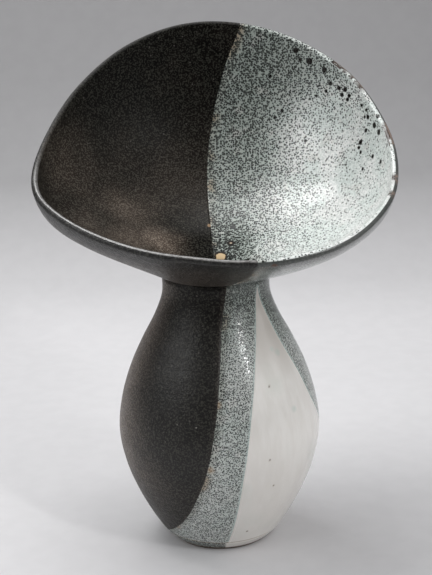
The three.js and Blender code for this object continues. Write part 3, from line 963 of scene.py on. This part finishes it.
def marked(tree, where, colour, marks):
    """Paints round marks of uneven outline on a colour: centre, radius, softness, colour, strength."""
    uneven = ragged(tree, where, 420.0, 2.0, 0.0016)
    for centre, radius, softness, paint, strength in marks:
        span = add_node(tree, "ShaderNodeVectorMath", {"operation": "DISTANCE"}, Vector=uneven)
        span.inputs[1].default_value = [(number + 0.8) * MM for number in centre]
        near, far = (radius - softness) * MM, (radius + softness) * MM
        share = ramp(tree, span.outputs["Value"], near, far, strength, 0)
        colour = blend_colours(tree, share, colour, paint)
    return colour


def nearest_border(tree):
    """Distance in millimetres from the nearer border of the field."""
    return arithmetic(tree, "MINIMUM", attribute(tree, "to_start"), attribute(tree, "to_finish"))


def dark_body_coat():
    """Dark glaze on the body, with the faint rings that the potter's fingers left under it."""
    material, tree, shader = new_material("dark_body_glaze", dark_colour)
    where = object_place(tree)
    up = axis_of(tree, where, "Z")

    # Where it turns away a painted sheen makes it tan, less so near the foot, and it is a little thin and
    # tan at its borders
    facing = add_node(tree, "ShaderNodeLayerWeight", Blend=0.4).outputs["Facing"]
    turned_away = ramp(tree, facing, 0.14, 0.75, 0, 0.8)
    edge_sheen = times(tree, turned_away, ramp(tree, up, 0.03, 0.08, 0.15, 1))
    thin = arithmetic(tree, "MAXIMUM", edge_sheen, ramp(tree, nearest_border(tree), 0, 5, 0.14, 0.03))
    glaze = use_group(tree, dark, Thin=thin, Rim=0.0)

    squeeze = (8, 8, finger_rings_per_metre)
    flat = add_node(tree, "ShaderNodeMapping", Vector=where, Scale=squeeze).outputs[0]
    rings = times(tree, noise(tree, flat, 1.0, 3, 0.7), 0.9)
    low_shine = ramp(tree, up, 0.03, 0.1, 0.26, 0.42)
    feed(
        tree,
        shader,
        Base_Color=marked(tree, where, glaze["Colour"], pale_specks),
        Roughness=glaze["Roughness"],
        Specular_IOR_Level=ramp(tree, up, 0.14, 0.19, low_shine, 0.2),
        Normal=bumped(tree, plus(tree, glaze["Relief"], rings), 0.00042, 0.7),
    )
    return material


def border(stations, turn=0):
    """Azimuth of a border at a share of its height, turned by whole turns where asked."""
    line = smooth_line(stations)
    return lambda share: line(share)[:, 0] + turn


def crowded(share):
    """Brings evenly spread shares closer together near 0 and 1."""
    return share - 0.86 * np.sin(math.tau * share) / math.tau


def glaze_coat(name, grid, places, material, slot, node, **numbers):
    """Makes a coat from a grid and the places of its points, with numbers there for its material."""
    set_numbers(grid, **numbers)
    move_points(grid, places)
    bmesh.ops.remove_doubles(grid, verts=grid.verts, dist=1e-6)
    coat = fired(name, grid, material, node, corner=80)
    skin = coat.modifiers.new("coat_thickness", "SOLIDIFY")
    skin.thickness = coat_thickness * MM
    skin.offset = -1


def apart(azimuth, line_azimuth, radius, past=0.0):
    """Distance in millimetres from a border, or from its tip where the place is past its end."""
    return np.hypot(np.radians(azimuth - line_azimuth) * radius, past)


def seam(distance):
    """How far the surface rolls down to a seam at a distance from it."""
    return seam_drop * (1 - smooth_step(distance, 0, seam_width))


def body_field(name, span, start, finish, columns, material, slot, node, meets):
    """A field of glaze on the body between two borders.

    Meets gives, for each of the two borders, the lowest and highest share of the height
    between which another glaze lies across it.
    """
    grid, across, up_share = sheet_grid(columns, field_rows)
    low, high = span
    share = low + (high - low) * crowded(up_share)
    height = share * joint_height
    azimuths = [line(share) for line in (start, finish)]
    azimuth = azimuths[0] + (azimuths[1] - azimuths[0]) * crowded(across)
    radius = body_line(height)[:, 0]
    past_ends = [np.maximum(np.maximum(first - share, share - last), 0) for first, last in meets]
    to_start, to_finish = (
        apart(azimuth, line, radius, past * joint_height) for line, past in zip(azimuths, past_ends)
    )
    groove = np.clip(1 - (height - foot_height) / groove_reach, 0, 1) ** 2 * groove_depth
    crease = np.clip(1 - (joint_height - height) / crease_reach, 0, 1) ** 2 * crease_depth
    depth = seam(np.minimum(to_start, to_finish)) + groove + crease
    places = turned(azimuth, np.stack(body_face(height, depth), axis=1))
    glaze_coat(name, grid, places, material, slot, node, to_start=to_start, to_finish=to_finish)


dark_right = border(dark_right_stations)
dark_left = border(dark_left_stations)
dark_span = (dark_tip[0], 1)
whole = (0, 1)
dark_body = (dark_body_coat(), "dark_glaze", "body_dark_glaze", (whole, whole))
body_field("dark_panel", dark_span, dark_left, dark_right, field_columns, *dark_body)


# Speckled glaze on the body: a band down the front between the dark glaze and the white
# one, and a wide field round the back.
body_cover = 0.475
ochre_stain = (0.5, 0.33, 0.18)
ochre_stains = [(place, 2.4, 1.8, ochre_stain, 0.4) for place in ((-1, -66, 124), (-7, -73, 79))]
white_tip = (0.98, -41.2)
white_left_stations = [
    (0, -87),
    (0.12, -81.6),
    (0.365, -77),
    (0.51, -73.4),
    (0.62, -69.4),
    (0.75, -62),
    (0.84, -53.6),
    (0.915, -46),
    white_tip,
]
white_right_stations = [
    (0, 50),
    (0.1, 41),
    (0.2, 30),
    (0.3, 16),
    (0.435, -4.6),
    (0.555, -19),
    (0.675, -26),
    (0.765, -30.8),
    (0.88, -34.5),
    white_tip,
]


def body_speckle(name, dark_side, white_side, stains):
    """Speckled glaze for the body. The sides name the numbers that hold the distances to its borders."""
    material, tree, shader = new_material(name, speckle_colour)
    where = object_place(tree)
    up = axis_of(tree, where, "Z")
    dark_edge = ramp(tree, attribute(tree, dark_side), 0, 7, 1, 0)
    white_edge = ramp(tree, attribute(tree, white_side), 0, 2.2, 1, 0)
    # Towards the neck the specks crowd and the ground dulls: painted shade under the mouth
    rise = plus(tree, body_cover, ramp(tree, up, 0.15, 0.185, 0, 0.1))
    crowd = plus(tree, rise, times(tree, dark_edge, 0.05))
    smoky = ramp(tree, up, 0.186, 0.198, 0.1, 0.8)
    pitch = body_speckle_pitch * MM
    edges = {"Dark_edge": dark_edge, "White_edge": white_edge}
    glaze = use_group(tree, speckled, Pitch=pitch, Cover=crowd, Blur=smoky, **edges)
    feed(
        tree,
        shader,
        Base_Color=marked(tree, where, glaze["Colour"], stains),
        Roughness=glaze["Roughness"],
        Normal=bumped(tree, glaze["Relief"], 0.00025, 0.45),
    )
    return material


coat_span = (foot_height / joint_height, 1)
white_left = border(white_left_stations)
white_right = border(white_right_stations)
under_tip, over_tip = (0, white_tip[0]), (dark_tip[0], 1)
band_glaze = body_speckle("speckled_band_glaze", "to_start", "to_finish", ochre_stains)
band = (band_glaze, "speckled_glaze", "body_speckled_front_band", (over_tip, under_tip))
band_columns = 60
body_field("speckled_band", coat_span, dark_right, white_left, band_columns, *band)
back_glaze = body_speckle("speckled_back_glaze", "to_finish", "to_start", [])
back = (back_glaze, "speckled_glaze", "body_speckled_back", (under_tip, over_tip))
behind_dark = border(dark_left_stations, 360)
body_field("speckled_back", coat_span, white_right, behind_dark, field_columns, *back)


# White glaze on the body: a pointed field brushed up the right side, thicker and glossier
# than the others.
pinholes = [(35, -53, 132), (34, -65, 82), (37, -59, 60), (18, -49, 20), (61, -18, 100), (49, 6, 46)]
pinhole_edge, pinhole_iron = (0.5, 0.44, 0.37), (0.1, 0.07, 0.05)
green_stains = [((42, -36, 151), 2.4), ((38, -38, 154), 1.5), ((59, -33, 84), 2.8), ((52, -46, 112), 2.2)]
stain_green = (0.5, 0.62, 0.56)


def white_coat():
    """White glaze with its runs, a few iron pinholes and faint green stains."""
    material, tree, shader = new_material("white_body_glaze", (0.68, 0.66, 0.64))
    chalk = use_group(tree, white)
    marks = [(place, radius, 1.4, stain_green, 0.35) for place, radius in green_stains]
    marks += [(place, 1.0, 0.7, pinhole_edge, 0.6) for place in pinholes]
    marks += [(place, 0.5, 0.25, pinhole_iron, 0.95) for place in pinholes]

    # It is thin and dull along its borders
    edge = nearest_border(tree)
    feed(
        tree,
        shader,
        Base_Color=marked(tree, object_place(tree), chalk["Colour"], marks),
        Roughness=ramp(tree, edge, 0.7, 2.2, 0.5, chalk["Roughness"]),
        Coat_Weight=ramp(tree, edge, 0.7, 2.2, 0, 0.2),
        Coat_Roughness=0.12,
        Normal=bumped(tree, chalk["Relief"], 0.0003, 0.35),
    )
    return material


white_span = (foot_height / joint_height, white_tip[0])
white_body = (white_coat(), "white_glaze", "body_white_glaze", (whole, whole))
body_field("white_panel", white_span, white_left, white_right, field_columns, *white_body)


# Glaze on the mouth: dark over its left half and speckled over its right, inside and out.
# The two sides of a field run together over the round rim, where the glaze is thinnest.
outside_front_stations = [(0, -79), (0.16, -74.8), (0.33, -71.2), (0.6, -71.5), (1, -73)]
outside_back_stations = [(0, 120), (0.4, 96), (1, 79)]
inside_front_stations = [(0, -86), (0.4, -79), (1, -73)]
inside_back_stations = [(0, 92.4), (0.34, 92.8), (0.59, 90), (0.82, 85), (1, 79)]
mouth_columns = 200
mouth_speckle_pitch = 1.5
smoke_black = (0.07, 0.074, 0.07)
worn_outside, worn_inside = (0.24, 0.18, 0.15), (0.06, 0.042, 0.034)

# Where the dark glaze inside is thin: centre, reach and strength
tan_patches = [
    ((-40, 31, 216), 19, 1.0),
    ((-58, 18, 220), 28, 0.55),
    ((-28, 42, 215), 10, 0.5),
    ((-64, 56, 236), 28, 0.48),
    ((-92, 12, 236), 24, 0.4),
    ((-108, 50, 270), 32, 0.4),
    ((-16, 72, 230), 14, 0.2),
]
throat_shade, throat_shade_reach = (-6, 40, 208), 19
worn_arcs = [(40.2, 45.6), (36.6, 38.7), (33.1, 35.7), (12, 21), (-4, 0), (-12, -9.5)]

# Pits near the rim: place and radius
pit_black = (0.012, 0.01, 0.008)
rim_pits = [
    ((66, 109, 345), 2.2), ((69, 107, 338), 1.5), ((76, 104, 337), 2.4), ((87, 98, 331), 2.1),
    ((97, 89, 318), 1.7), ((101, 85, 317), 1.9), ((99, 87, 313), 1.5), ((103, 83, 310), 1.6),
    ((88, 96, 315), 1.3), ((120, 56, 294), 2.2), ((122, 49, 290), 2.2), ((115, 64, 289), 1.6),
    ((116, 64, 299), 1.7), ((111, 66, 280), 1.9), ((110, 66, 276), 1.4), ((122, 38, 270), 1.7),
    ((118, 50, 272), 1.5), ((46, 115, 325), 1.4), ((55, 110, 299), 1.4), ((93, 95, 337), 1.3),
    ((104, 82, 313), 1.5), ((112, 71, 307), 1.3), ((115, 66, 304), 1.3), ((114, 67, 299), 1.2),
    ((122, 54, 301), 1.6), ((111, 63, 273), 1.3), ((83, 100, 319), 1.0), ((91, 94, 321), 1.5),
    ((81, 100, 311), 1.0), ((49, 110, 294), 1.3), ((72, 97, 277), 1.2), ((111, 54, 262), 1.3),
    ((100, 69, 263), 1.1), ((126, 33, 283), 1.2),
]


def thin_places(places):
    """How thin the dark glaze is: a little low in the bowl, and more so in a few patches. The low part is
    also a painted sheen on the bowl's floor, and round the throat the tan is taken out as painted shade.
    """
    # Thinner glaze and painted sheen low in the bowl
    thin = 0.2 * (1 - smooth_step(places[:, 2], 225, 320)) * smooth_step(places[:, 2], 208, 235)
    for centre, reach, strength in tan_patches:
        distance = np.linalg.norm(places - centre, axis=1)
        thin = np.maximum(thin, strength * np.exp(-((distance / reach) ** 2)))
    # Painted shade: no tan round the throat
    shaded = np.exp(-((np.linalg.norm(places - throat_shade, axis=1) / throat_shade_reach) ** 2))
    return thin * (1 - shaded)


def worn_runs(azimuth):
    """Arcs of the rim where the glaze has pulled away from the clay."""
    middles = np.array([(low + high) / 2 for low, high in worn_arcs])
    halves = np.array([(high - low) / 2 for low, high in worn_arcs])
    off = np.abs((azimuth[:, None] - middles + 180) % 360 - 180)
    return smooth_step(halves - off, -0.8, 0.8).max(axis=1)


def mouth_field(name, face, row_stops, rows, start, finish, material, slot, node):
    """A field of glaze on a face of the mouth between two borders, up to the crest of the rim.

    The row stops are its rows at the bottom, a tenth and nine tenths of the way up, and the top.
    """
    grid, across, up_share = sheet_grid(mouth_columns, rows)
    row = np.interp(up_share, (0, 0.1, 0.9, 1), row_stops)
    azimuths = [line(np.clip(row, 0, 1)) for line in (start, finish)]
    azimuth = azimuths[0] + (azimuths[1] - azimuths[0]) * crowded(across)
    radius = face(azimuth, row, np.zeros_like(row))[:, 0]
    to_start, to_finish = (apart(azimuth, line, radius) for line in azimuths)
    places = turned(azimuth, face(azimuth, row, seam(np.minimum(to_start, to_finish))))
    rim = smooth_step(row, 1.08, 1.16)
    numbers = {"to_start": to_start, "to_finish": to_finish, "rim": rim, "row": row}
    numbers["thin"] = thin_places(places)
    numbers["bare"] = rim * worn_runs(azimuth)
    glaze_coat(name, grid, places, material, slot, node, **numbers)


def inside_cover(tree, where, dark_edge, rim):
    """How closely the specks stand inside: more so low in the bowl and at its top, less at the right.
    Besides the specks' own spread, this paints shade in the throat and at the top, and light on the right
    wall.
    """
    across, up = axis_of(tree, where, "X"), axis_of(tree, where, "Z")
    # The specks crowd towards the top: their own spread, and painted shade on the steep top wall
    rise = ramp(tree, up, 0.225, 0.345, 0.475, 0.54)
    # Painted shade: more specks low in the throat, at its left
    throat = ramp(tree, up, 0.205, 0.236, ramp(tree, across, 0.01, 0.033, 0.155, -0.04), 0)
    # Painted light: fewer specks on the right wall, most of all low down
    right_painted_light = ramp(tree, across, 0.02, 0.12, 0.04, ramp(tree, up, 0.285, 0.335, -0.25, -0.08))
    crowd = plus(tree, plus(tree, rise, throat), right_painted_light)
    crowd = plus(tree, crowd, times(tree, dark_edge, 0.04))
    return arithmetic(tree, "SUBTRACT", crowd, times(tree, rim, 0.05))


def mouth_speckle(name, outer, marks):
    """Speckled glaze for the mouth. Outside it has run, and it looks smoky below the rim."""
    material, tree, shader = new_material(name, speckle_colour)
    where = object_place(tree)
    rim = attribute(tree, "rim")
    dark_edge = ramp(tree, nearest_border(tree), 0, 9, 1, 0)
    crowd = ramp(tree, rim, 0, 1, 0.5, 0.62) if outer else inside_cover(tree, where, dark_edge, rim)
    blur = 0.5 if outer else 0.0
    pitch = mouth_speckle_pitch * MM
    glaze = use_group(tree, speckled, Pitch=pitch, Cover=crowd, Blur=blur, Dark_edge=dark_edge)
    colour = glaze["Colour"]
    if outer:
        smoke = ramp(tree, attribute(tree, "row"), 0.72, 0.96, 0.15, 0.9)
        colour = blend_colours(tree, smoke, colour, smoke_black)
    else:
        shine = ramp(tree, axis_of(tree, where, "Z"), 0.208, 0.24, 0.05, 0.5)
        feed(tree, shader, Specular_IOR_Level=shine)
    spotted = marked(tree, where, colour, marks)
    streak = ramp(tree, noise(tree, where, 260, 3), 0.3, 0.55)
    bare = times(tree, attribute(tree, "bare"), streak)
    feed(
        tree,
        shader,
        Base_Color=blend_colours(tree, bare, spotted, worn_outside if outer else worn_inside),
        Roughness=ramp(tree, rim, 0, 1, glaze["Roughness"], 0.24),
        Normal=bumped(tree, glaze["Relief"], 0.00025, 0.45),
    )
    return material


def dark_outer_coat():
    """Dark glaze on the mouth's outside, where it has pooled below the rim. Lower down a painted sheen
    makes it tan where it turns away.
    """
    material, tree, shader = new_material("dark_outer_glaze", dark_colour)
    facing = add_node(tree, "ShaderNodeLayerWeight", Blend=0.4).outputs["Facing"]
    # Painted sheen: tan where the wall turns away, only on its lower part
    lower = ramp(tree, attribute(tree, "row"), 0.55, 1.0, 1, 0)
    thin = times(tree, lower, ramp(tree, facing, 0.3, 0.9, 0.1, 0.3))
    glaze = use_group(tree, dark, Thin=thin, Rim=0.0)
    normal = bumped(tree, glaze["Relief"], 0.0006, 0.9)
    feed(tree, shader, Base_Color=glaze["Colour"], Roughness=glaze["Roughness"], Normal=normal)
    return material


def dark_inner_coat():
    """Dark glaze inside the mouth. It shines on the rim, where a painted highlight greys it low down, and
    hardly at all in the throat.
    """
    material, tree, shader = new_material("dark_inner_glaze", dark_colour)
    where = object_place(tree)
    up = axis_of(tree, where, "Z")
    # Painted highlight along the rim, strong low on the rim and faint at its top
    shine = times(tree, attribute(tree, "rim"), ramp(tree, up, 0.255, 0.29, 1, 0.1))
    glaze = use_group(tree, dark, Thin=attribute(tree, "thin"), Rim=shine)
    deep = ramp(tree, up, 0.212, 0.222, 0.02, ramp(tree, up, 0.226, 0.27, 0.2, 0.07))
    feed(
        tree,
        shader,
        Base_Color=marked(tree, where, glaze["Colour"], seam_mark),
        Roughness=glaze["Roughness"],
        Specular_IOR_Level=ramp(tree, shine, 0, 1, deep, 0.6),
        Normal=bumped(tree, glaze["Relief"], 0.0003, 0.5),
    )
    return material


outside_front = border(outside_front_stations)
outside_back = border(outside_back_stations)
inside_front = border(inside_front_stations)
inside_back = border(inside_back_stations)
outside_back_turned = border(outside_back_stations, -360)
inside_back_turned = border(inside_back_stations, -360)

# Marks: centre, radius, softness, colour and strength
throat_marks = [
    ((4, 32, 203), 5, 0.9, (0.02, 0.013, 0.008), 1),
    ((4, 32, 203), 3.5, 0.35, (0.62, 0.46, 0.27), 1),
    ((12, 44, 210), 3.1, 0.5, (0.012, 0.009, 0.007), 1),
    ((12, 44, 210), 0.9, 0.3, (0.5, 0.4, 0.3), 1),
    ((14, 60, 219), 2.2, 0.6, (0.05, 0.05, 0.052), 0.9),
    ((29, 34, 209), 1.8, 0.6, (0.07, 0.08, 0.075), 0.8),
    ((24, 22, 203), 1.6, 0.4, (0.012, 0.012, 0.01), 1),
    ((27, 18, 204), 1.6, 0.4, (0.014, 0.016, 0.013), 1),
]
rim_marks = [(place, radius + 0.1, 0.5, pit_black, 1) for place, radius in rim_pits]
lip_mark = [((38, -88, 227), 2.1, 0.5, (0.085, 0.05, 0.036), 1)]
seam_mark = [((-4, 62, 220), 1.5, 0.5, (0.3, 0.2, 0.12), 1)]
inner_marks = rim_marks + throat_marks + lip_mark

# Rows over the crease or the throat's shoulder, up the face, and over the rim, and their number
outer_face = (mouth_outside, (0, 0.03, 1, crest), 100)
inner_face = (mouth_inside, (-1, 0, 1, crest), 130)
dark_out = (dark_outer_coat(), "dark_glaze", "mouth_outside_dark_glaze")
dark_in = (dark_inner_coat(), "dark_glaze", "mouth_inside_dark_glaze")
speckle_out = mouth_speckle("speckled_outer_glaze", True, lip_mark)
speckle_in = mouth_speckle("speckled_inner_glaze", False, inner_marks)
speckled_out = (speckle_out, "speckled_glaze", "mouth_outside_speckled_glaze")
speckled_in = (speckle_in, "speckled_glaze", "mouth_inside_speckled_glaze")
mouth_field("dark_outer_mouth", *outer_face, outside_back_turned, outside_front, *dark_out)
mouth_field("speckled_outer_mouth", *outer_face, outside_front, outside_back, *speckled_out)
mouth_field("dark_inner_mouth", *inner_face, inside_front, inside_back_turned, *dark_in)
mouth_field("speckled_inner_mouth", *inner_face, inside_back, inside_front, *speckled_in)
